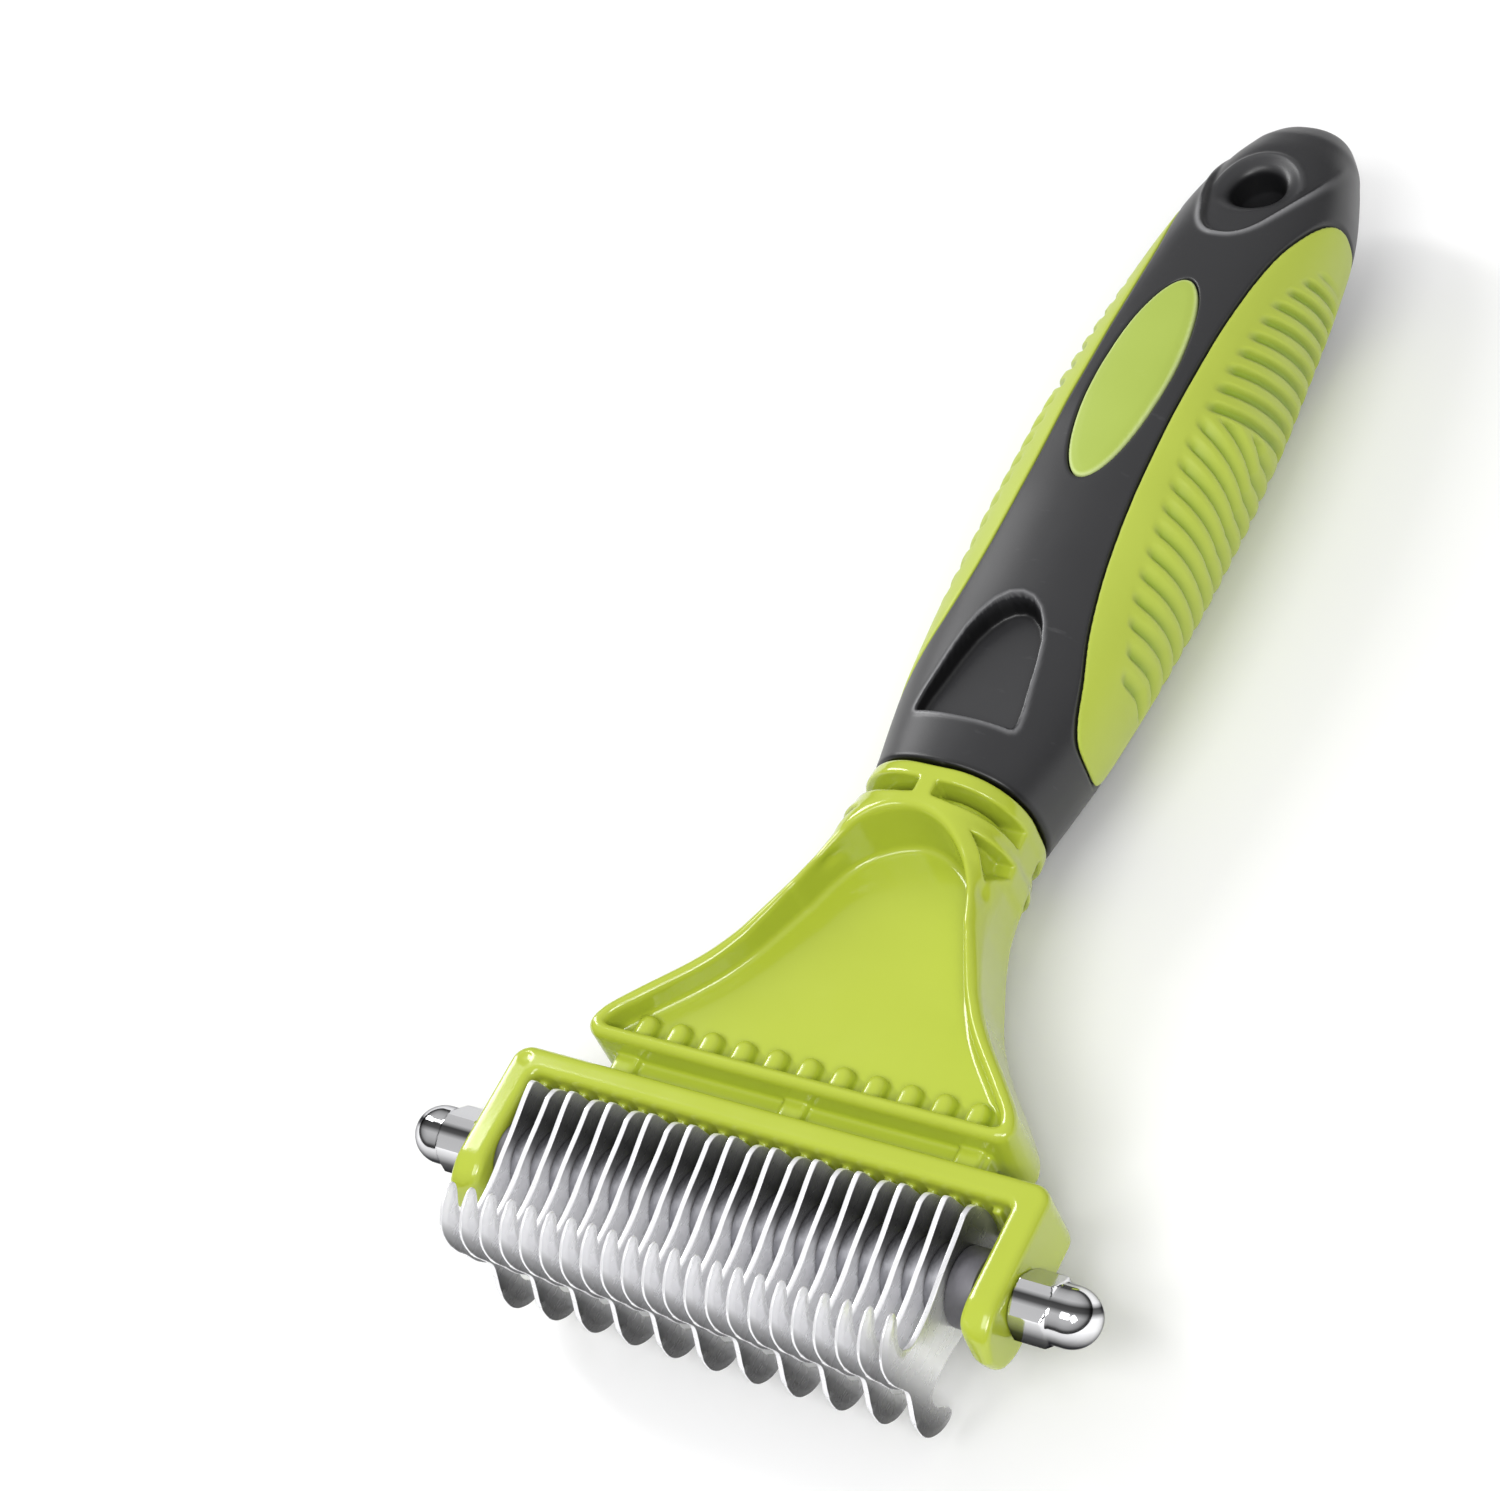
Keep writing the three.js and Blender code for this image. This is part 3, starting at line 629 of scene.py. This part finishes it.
NUT_HEIGHT, NUT_HEX, NUT_FLATS, NUT_DOME = 10.6, 5.2, 8.0, 3.9
NUT_TURN = 0.3
ROD_RADIUS, THREAD_PITCH, THREAD_DEPTH, THREAD_LENGTH = 2.5, 0.8, 0.42, 14
POINTED = 0.02  # the radius of a point that closes an end


def build_nut(name, seat, way):
    """A cap nut: a hexagon with a turned chamfer at each end, a domed cap and a blind bore."""
    angle = angles(192)
    straight = NUT_HEIGHT - NUT_DOME
    turn = np.linspace(0, 1, 26)[1:]
    hexagon_part = np.linspace(0, NUT_HEX, 44)
    neck_part = np.linspace(NUT_HEX, straight, 8)[1:]
    dome_part = straight + NUT_DOME * np.sin(turn * math.pi / 2)
    sixth = math.pi / 3
    off = np.mod(angle - NUT_TURN + sixth / 2, sixth) - sixth / 2
    hexagon = NUT_FLATS / 2 / np.cos(sixth / 2 - np.abs(off))
    chamfer_slope = math.tan(math.radians(30))
    circles = [circle(0.35, BORE, angle), circle(0.0, BORE + 0.35, angle)]
    for px in [*hexagon_part, *neck_part, *dome_part]:
        hex_part = smooth_min(hexagon, 3.95 + px / chamfer_slope, 0.12)
        hex_part = smooth_min(hex_part, 3.75 + (NUT_HEX - px) / chamfer_slope, 0.12)
        dome = math.sqrt(max(NUT_DOME**2 - max(px - straight, 0.0) ** 2, 0.0))
        radius = np.maximum(hex_part, dome) if px <= NUT_HEX + 0.01 else dome
        circles.append(circle(px, np.maximum(radius, POINTED), angle))
    circles += [circle(NUT_HEIGHT - 2.0, POINTED, angle), circle(NUT_HEIGHT - 3.0, BORE, angle)]
    rings, points = numbered(circles)
    quads = strips([*rings, rings[0]])
    points[:, 0] = seat + way * points[:, 0]
    if way > 0:
        quads = quads[:, ::-1]
    return mesh_object(name, points, quads)


def build_rod(half_length):
    """The rod, with a rolled thread at each end."""
    angle = angles(48)
    thread = np.arange(0, THREAD_LENGTH, THREAD_PITCH / 10)
    plain = half_length - THREAD_LENGTH - 0.4
    along = [*(thread - half_length), *np.linspace(-plain, plain, 12), *(half_length - thread[::-1])]
    circles = [circle(-half_length, POINTED, angle)]
    for px in along:
        end = half_length - abs(px)
        fade = smooth_step(np.array((THREAD_LENGTH - end) / 1.2)) * smooth_step(np.array(end / 0.9 + 0.2))
        phase = np.mod(px / THREAD_PITCH - angle / (2 * math.pi), 1)
        groove = THREAD_DEPTH * (1 - np.abs(2 * phase - 1))
        circles.append(circle(px, ROD_RADIUS - fade * groove - 0.5 * max(0.0, 0.7 - end), angle))
    circles.append(circle(half_length, POINTED, angle))
    rings, points = numbered(circles)
    return mesh_object("rod_threaded", points, strips(rings)[:, ::-1])


# ------------------------------------------------------------------ materials


# where the painted reflection bands on the nuts lie: up which direction, how far across from 0 to 1, and
# each grey
CHROME_UP = (0, 0.79, 0.61)
CHROME_BANDS = [
    (0.0, 0.05), (0.12, 0.12), (0.28, 0.6), (0.42, 0.9), (0.6, 0.85), (0.68, 0.14), (0.75, 0.08),
    (0.82, 0.85), (1.0, 0.9),
]
# the bright grey of the blades' edges: ground edges, painted bright as a highlight
POLISHED_EDGE_HIGHLIGHT = (0.86, 0.86, 0.88, 1)
BLADE_LOW, BLADE_HIGH = -17.5, 9.5
BLADE_TILT = 0.22  # how much a blade's front counts as higher up than its back
# height and grey of a blade's sides, a painted reflection: dark at the hooks' feet and up the shank, pale
# along the hooks
HOOKS = [(-17.4, 0.05), (-16.0, 0.15), (-14.6, 0.5), (-13.6, 0.9), (-11.3, 0.97), (-3.5, 0.95)]
# darker painted greys for the blade at the right end, whose side is lit in the open
OUTER_HOOKS = [(-17.4, 0.06), (-16.0, 0.15), (-14.2, 0.4), (-12.6, 0.6), (-10.5, 0.85), (-3.5, 0.8)]
SHANK = [(-1.0, 0.4), (1.0, 0.14), (4.5, 0.08), (7.2, 0.18), (9.0, 0.4)]


def srgb(code):
    channels = [int(code[i : i + 2], 16) / 255 for i in (0, 2, 4)]
    return (*[c / 12.92 if c < 0.04045 else ((c + 0.055) / 1.055) ** 2.4 for c in channels], 1.0)


class Paint:
    """A node material with a Principled shader and a few helpers."""

    def __init__(self, name):
        self.material = bpy.data.materials.new(name)
        self.material.use_nodes = True
        self.nodes, self.links = self.material.node_tree.nodes, self.material.node_tree.links
        self.shader = self.nodes["Principled BSDF"]
        self.coords = self.nodes.new("ShaderNodeTexCoord")

    def set(self, **values):
        for key, value in values.items():
            self.shader.inputs[key.replace("_", " ")].default_value = value
        return self

    def node(self, kind, **values):
        made = self.nodes.new(kind)
        for key, value in values.items():
            made.inputs[key.replace("_", " ")].default_value = value
        return made

    def noise(self, scale, detail=3.0, stretch=(1, 1, 1)):
        """Noise whose grain is about 1 / scale metres."""
        mapping = self.node("ShaderNodeMapping", Scale=stretch)
        noise = self.node("ShaderNodeTexNoise", Scale=scale, Detail=detail, Roughness=0.55)
        self.links.new(self.coords.outputs["Object"], mapping.inputs["Vector"])
        self.links.new(mapping.outputs["Vector"], noise.inputs["Vector"])
        return noise.outputs["Fac"]

    def ramp(self, source, stops):
        ramp = self.nodes.new("ShaderNodeValToRGB")
        self.links.new(source, ramp.inputs["Fac"])
        elements = ramp.color_ramp.elements
        for element, (place, colour) in zip([elements[0], elements[1]], stops[:2]):
            element.position, element.color = place, colour
        for place, colour in stops[2:]:
            elements.new(place).color = colour
        return ramp.outputs["Color"]

    def spread(self, source, low, high):
        made = self.node("ShaderNodeMapRange", From_Min=0.3, From_Max=0.7, To_Min=low, To_Max=high)
        self.links.new(source, made.inputs["Value"])
        return made.outputs["Result"]

    def level(self, up, low, high):
        """How far a point is up a direction, from 0 at low to 1 at high, in millimetres from the rod."""
        along = self.nodes.new("ShaderNodeVectorMath")
        along.operation = "DOT_PRODUCT"
        along.inputs[1].default_value = up
        self.links.new(self.coords.outputs["Object"], along.inputs[0])
        middle = AXLE.dot(up)
        made = self.node("ShaderNodeMapRange", From_Min=middle + low * MM, From_Max=middle + high * MM)
        self.links.new(along.outputs["Value"], made.inputs["Value"])
        return made.outputs["Result"]

    def greys(self, source, stops):
        """Bluish greys along source."""
        return self.ramp(source, [(place, (grey, grey, grey * 1.02, 1)) for place, grey in stops])

    def mix(self, amount, first, second):
        """First colour to second by amount."""
        mix = self.nodes.new("ShaderNodeMix")
        mix.data_type = "RGBA"
        for socket, value in ((mix.inputs[0], amount), (mix.inputs[6], first), (mix.inputs[7], second)):
            if isinstance(value, tuple):
                socket.default_value = value
            else:
                self.links.new(value, socket)
        return mix.outputs[2]

    def shade_highlight_and_scuff(self, source, shade, scuff_and_highlight, amount):
        """The colour with painted shade where tone is above 0, a painted highlight where it is below, and
        faintly scuffed.
        """
        tone = self.nodes.new("ShaderNodeAttribute")
        tone.attribute_name = "tone"
        dark = self.node("ShaderNodeMapRange", From_Min=0.0, From_Max=1.0, To_Min=0.0, To_Max=1.0)
        light = self.node("ShaderNodeMapRange", From_Min=0.0, From_Max=-1.0, To_Min=0.0, To_Max=1.0)
        scuff = self.node("ShaderNodeMapRange", From_Min=0.66, From_Max=0.8, To_Min=0.0, To_Max=amount)
        self.links.new(tone.outputs["Fac"], dark.inputs["Value"])
        self.links.new(tone.outputs["Fac"], light.inputs["Value"])
        self.links.new(self.noise(240, 6, (1, 3, 1)), scuff.inputs["Value"])
        shaded = self.mix(dark.outputs["Result"], source, shade)
        rubbed = self.mix(scuff.outputs["Result"], shaded, scuff_and_highlight)
        return self.mix(light.outputs["Result"], rubbed, scuff_and_highlight)

    def bump(self, source, strength, distance):
        made = self.node("ShaderNodeBump", Strength=strength, Distance=distance)
        self.links.new(source, made.inputs["Height"])
        self.links.new(made.outputs["Normal"], self.shader.inputs["Normal"])

    def colour(self, source):
        self.links.new(source, self.shader.inputs["Base Color"])

    def roughness(self, source):
        self.links.new(source, self.shader.inputs["Roughness"])


def plastic(name, base, dark, shade, light, roughness, grain, bump, **extra):
    p = Paint(name).set(**extra)
    mottled = p.ramp(p.noise(60, 4), [(0.3, srgb(dark)), (0.7, srgb(base))])
    p.colour(p.shade_highlight_and_scuff(mottled, srgb(shade), srgb(light), 0.1))
    p.roughness(p.spread(p.noise(160, 5), *roughness))
    p.bump(p.noise(grain, 2), bump, 0.00005)
    return p.material


def steel(name, base, light, roughness, streak, bump, **extra):
    p = Paint(name).set(Metallic=1.0, **extra)
    grain = p.noise(1400, 3, streak)
    p.colour(p.ramp(grain, [(0.3, srgb(base)), (0.7, srgb(light))]))
    p.roughness(p.spread(grain, *roughness))
    p.bump(grain, bump, 0.00002)
    return p.material


def chrome():
    """Mirror plating with painted reflections: the bands a bright and dark room leaves along it, painted
    into its colour by height.
    """
    p = Paint("chrome_plating").set(Metallic=1.0, Specular_Tint=(0.3, 0.3, 0.31, 1))
    grain = p.noise(900, 3)
    # the bands are painted reflections, graded by height up CHROME_UP
    height = p.level(Vector(CHROME_UP), -NUT_FLATS / 2, NUT_FLATS / 2)
    p.colour(p.greys(height, CHROME_BANDS))
    p.roughness(p.spread(grain, 0.05, 0.1))
    p.bump(grain, 0.02, 0.00001)
    return p.material


def blade_steel(name, metallic, greys):
    """Polished edges painted bright as a highlight; satin sides with a painted reflection, dark above and
    pale towards the hooks.
    """
    p = Paint(name).set(Metallic=metallic, Specular_IOR_Level=0.6)
    grain = p.noise(500, 3, (1, 0.4, 1))
    # the sides' grey is a painted reflection, set by height
    height = p.level(Vector((0, 1, BLADE_TILT)), BLADE_LOW, BLADE_HIGH)
    reach = BLADE_HIGH - BLADE_LOW
    side = p.greys(height, [((y - BLADE_LOW) / reach, grey) for y, grey in greys])
    geometry = p.nodes.new("ShaderNodeNewGeometry")
    facing = p.nodes.new("ShaderNodeSeparateXYZ")
    p.links.new(geometry.outputs["Normal"], facing.inputs["Vector"])
    size = p.nodes.new("ShaderNodeMath")
    size.operation = "ABSOLUTE"
    p.links.new(facing.outputs["X"], size.inputs[0])
    # faces turned away from the sides, the ground edges, get the bright grey as a painted highlight
    edge = p.node("ShaderNodeMapRange", From_Min=0.85, From_Max=0.6, To_Min=0.0, To_Max=1.0)
    p.links.new(size.outputs[0], edge.inputs["Value"])
    p.colour(p.mix(edge.outputs["Result"], side, POLISHED_EDGE_HIGHLIGHT))
    p.roughness(p.spread(grain, 0.25, 0.29))
    p.bump(grain, 0.01, 0.00001)
    return p.material


# shade and light colours: painted shade and painted highlights where a part has a tone; light also colours
# the scuffs
GREEN = plastic(
    "green_gloss_plastic", "B0BE3C", "ADBB39", "8FA61E", "BED04E", (0.15, 0.2), 1500, 0.03,
    Coat_Weight=0.3, Coat_Roughness=0.06,
)
SOFT = plastic(
    "soft_green_overmould", "B3C246", "AFBE43", "7F9A1E", "C0D158", (0.45, 0.55), 5200, 0.15,
    Sheen_Weight=0.1, Sheen_Roughness=0.5,
)
INLAY = plastic(
    "inlay_green", "A6B952", "A3B64F", "93A840", "C9D98E", (0.45, 0.52), 3800, 0.1,
    Specular_IOR_Level=0.35,
)
CHARCOAL = plastic(
    "charcoal_plastic", "2D2D2F", "2A2A2C", "0C0C0D", "8C8C8E", (0.36, 0.4), 4200, 0.1,
    Specular_IOR_Level=0.5,
)
BLADE = blade_steel("blade_steel", 0.3, [*HOOKS, *SHANK])
# the same steel with darker painted greys, to offset the light on the outermost blade's open side
OUTER_BLADE = blade_steel("outer_blade_steel", 0.6, [*OUTER_HOOKS, *SHANK])
SPACER = steel("spacer_steel", "9A9A9F", "A9A9AE", (0.4, 0.5), (3, 1, 1), 0.2)
SLEEVE = steel("sleeve_steel", "77767B", "807F84", (0.6, 0.68), (3, 1, 1), 0.2)
ROD = steel("rod_steel", "A8A8AC", "BBBBC0", (0.22, 0.34), (3, 1, 1), 0.15)
CHROME = chrome()

# ------------------------------------------------------------------ pieces


def dress(obj, material, body, slot_name, *nodes):
    obj.data.materials.clear()
    obj.data.materials.append(material)
    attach(obj, body)
    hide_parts(*nodes)
    return obj


def copy_of(source, name, x):
    """Another piece of the same shape, moved along the rod."""
    obj = bpy.data.objects.new(name, source.data)
    obj.location = (x - AXLE.x, 0, 0)
    bpy.context.scene.collection.objects.link(obj)
    return obj


ROOT = "tool_body"
dress(build_head(), GREEN, ROOT, "green_plastic", "yoke_and_collar")
handle, grips, inlays = build_handle()
dress(handle, CHARCOAL, ROOT, "charcoal_plastic", "handle_body")
dress(grips[0], SOFT, ROOT, "soft_green", "side_grip_right")
dress(grips[1], SOFT, ROOT, "soft_green", "side_grip_left")
dress(inlays[0], INLAY, ROOT, "soft_green", "oval_inlay_front")
dress(inlays[1], INLAY, ROOT, "soft_green", "oval_inlay_back")

mirrored = [(-u, v) for u, v in reversed(HOOK)]
shapes = {
    "single": build_blade("pattern_single", FLAT + HOOK + SINGLE_BACK),
    "double": build_blade("pattern_double", DOMED + HOOK + mirrored[1:]),
}
for kind, pattern in shapes.items():
    for i in range(1, 12):
        node = f"{kind}_blade_{i:02d}"
        low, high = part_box(node)
        dress(copy_of(pattern, f"steel_{node}", (low.x + high.x) / 2), BLADE, ROOT, "blade_steel", node)
    bpy.data.objects.remove(pattern)
# the blade at the right end, whose whole side is in the open and lit, gets darker painted greys than the
# rest to offset that light
outermost = bpy.data.objects["steel_double_blade_11"]
outermost.data = outermost.data.copy()
outermost.data.materials[0] = OUTER_BLADE

low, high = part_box("spacer_01")
pattern = lathe("pattern_spacer", ring_profile((high.x - low.x) / 2 / MM, (high.y - low.y) / 2 / MM))
for i in range(1, 22):
    node = f"spacer_{i:02d}"
    low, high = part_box(node)
    dress(copy_of(pattern, f"turned_{node}", (low.x + high.x) / 2), SPACER, ROOT, "spacer_steel", node)
bpy.data.objects.remove(pattern)
for node in ("end_spacer_left", "end_sleeve_right"):
    low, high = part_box(node)
    made = lathe(f"turned_{node}", ring_profile((high.x - low.x) / 2 / MM, (high.y - low.y) / 2 / MM, 0.4))
    made.location.x = (low.x + high.x) / 2 - AXLE.x
    dress(made, SLEEVE, ROOT, "spacer_steel", node)

dress(build_rod((rod_high.x - rod_low.x) / 2 / MM), ROD, "axle", "rod_steel", "threaded_rod")
seat = YOKE_HALF_WIDTH + 0.15
dress(build_nut("chrome_nut_right", seat, 1), CHROME, "right_nut", "chrome", "cap_nut_right")
dress(build_nut("chrome_nut_left", -seat, -1), CHROME, "left_nut", "chrome", "cap_nut_left")

# ------------------------------------------------------------------ floor, light and camera


FLOOR_HALF, FLOOR_GAP = 4.0, 0.0003  # metres


def floor():
    mesh = bpy.data.meshes.new("floor")
    level = cad_box[0][2] - FLOOR_GAP
    corners = [(-1, -1), (1, -1), (1, 1), (-1, 1)]
    mesh.from_pydata([(x * FLOOR_HALF, y * FLOOR_HALF, level) for x, y in corners], [], [(0, 1, 2, 3)])
    obj = bpy.data.objects.new("floor", mesh)
    bpy.context.scene.collection.objects.link(obj)
    p = Paint("floor_paint").set(Roughness=0.9)
    p.colour(p.ramp(p.noise(3, 2), [(0.3, (0.92, 0.92, 0.92, 1)), (0.7, (0.94, 0.94, 0.94, 1))]))
    mesh.materials.append(p.material)


def softbox(name, place, aim, size, power):
    data = bpy.data.lights.new(name, "AREA")
    data.shape, data.size, data.size_y = "RECTANGLE", size[0], size[1]
    data.energy = power
    obj = bpy.data.objects.new(name, data)
    bpy.context.scene.collection.objects.link(obj)
    obj.location = place
    obj.rotation_mode = "QUATERNION"
    obj.rotation_quaternion = (Vector(aim) - Vector(place)).to_track_quat("-Z", "Y")


floor()
softbox("key", (-0.85, 0.25, 0.6), (0, 0, 0), (0.2, 0.7), 5.6)
softbox("right", (0.55, -0.5, 0.75), (0, -0.07, 0), (0.35, 0.35), 4.2)
softbox("top", (0.0, -0.55, 0.95), (0, 0, 0), (0.6, 0.4), 3.8)

world = bpy.data.worlds.new("studio")
bpy.context.scene.world = world
world.use_nodes = True
nodes, links = world.node_tree.nodes, world.node_tree.links
direction = nodes.new("ShaderNodeTexCoord")
split = nodes.new("ShaderNodeSeparateXYZ")
sky = nodes.new("ShaderNodeValToRGB")
links.new(direction.outputs["Generated"], split.inputs["Vector"])
links.new(split.outputs["Z"], sky.inputs["Fac"])
links.new(sky.outputs["Color"], nodes["Background"].inputs["Color"])
sky.color_ramp.elements[0].position, sky.color_ramp.elements[0].color = 0.0, (0.04, 0.04, 0.04, 1)
sky.color_ramp.elements[1].position, sky.color_ramp.elements[1].color = 1.0, (0.62, 0.62, 0.62, 1)
for place, grey in ((0.14, 0.06), (0.3, 0.3), (0.6, 0.5)):
    sky.color_ramp.elements.new(place).color = (grey, grey, grey, 1)

# the camera's three directions, where it is from the rod in millimetres, and its lens
RIGHT = Vector((0.83805122, 0.4426926, -0.31889406))
DOWN = Vector((0.18295112, -0.77867122, -0.60016666))
FORWARD = Vector((-0.51400297, 0.44462837, -0.73355747))
EYE = Vector((250.579, -178.613, 407.977))
LENS = 96.759216
camera_data = bpy.data.cameras.new("camera")
camera = bpy.data.objects.new("camera", camera_data)
bpy.context.scene.collection.objects.link(camera)
bpy.context.scene.camera = camera
camera_data.sensor_width = 36.0
camera_data.lens = LENS
camera_data.clip_start, camera_data.clip_end = 0.01, 20.0
turn = Matrix((RIGHT, -DOWN, -FORWARD)).transposed()
camera.matrix_world = Matrix.Translation(AXLE + EYE * MM) @ turn.to_4x4()

bpy.context.scene.view_settings.view_transform = "Standard"
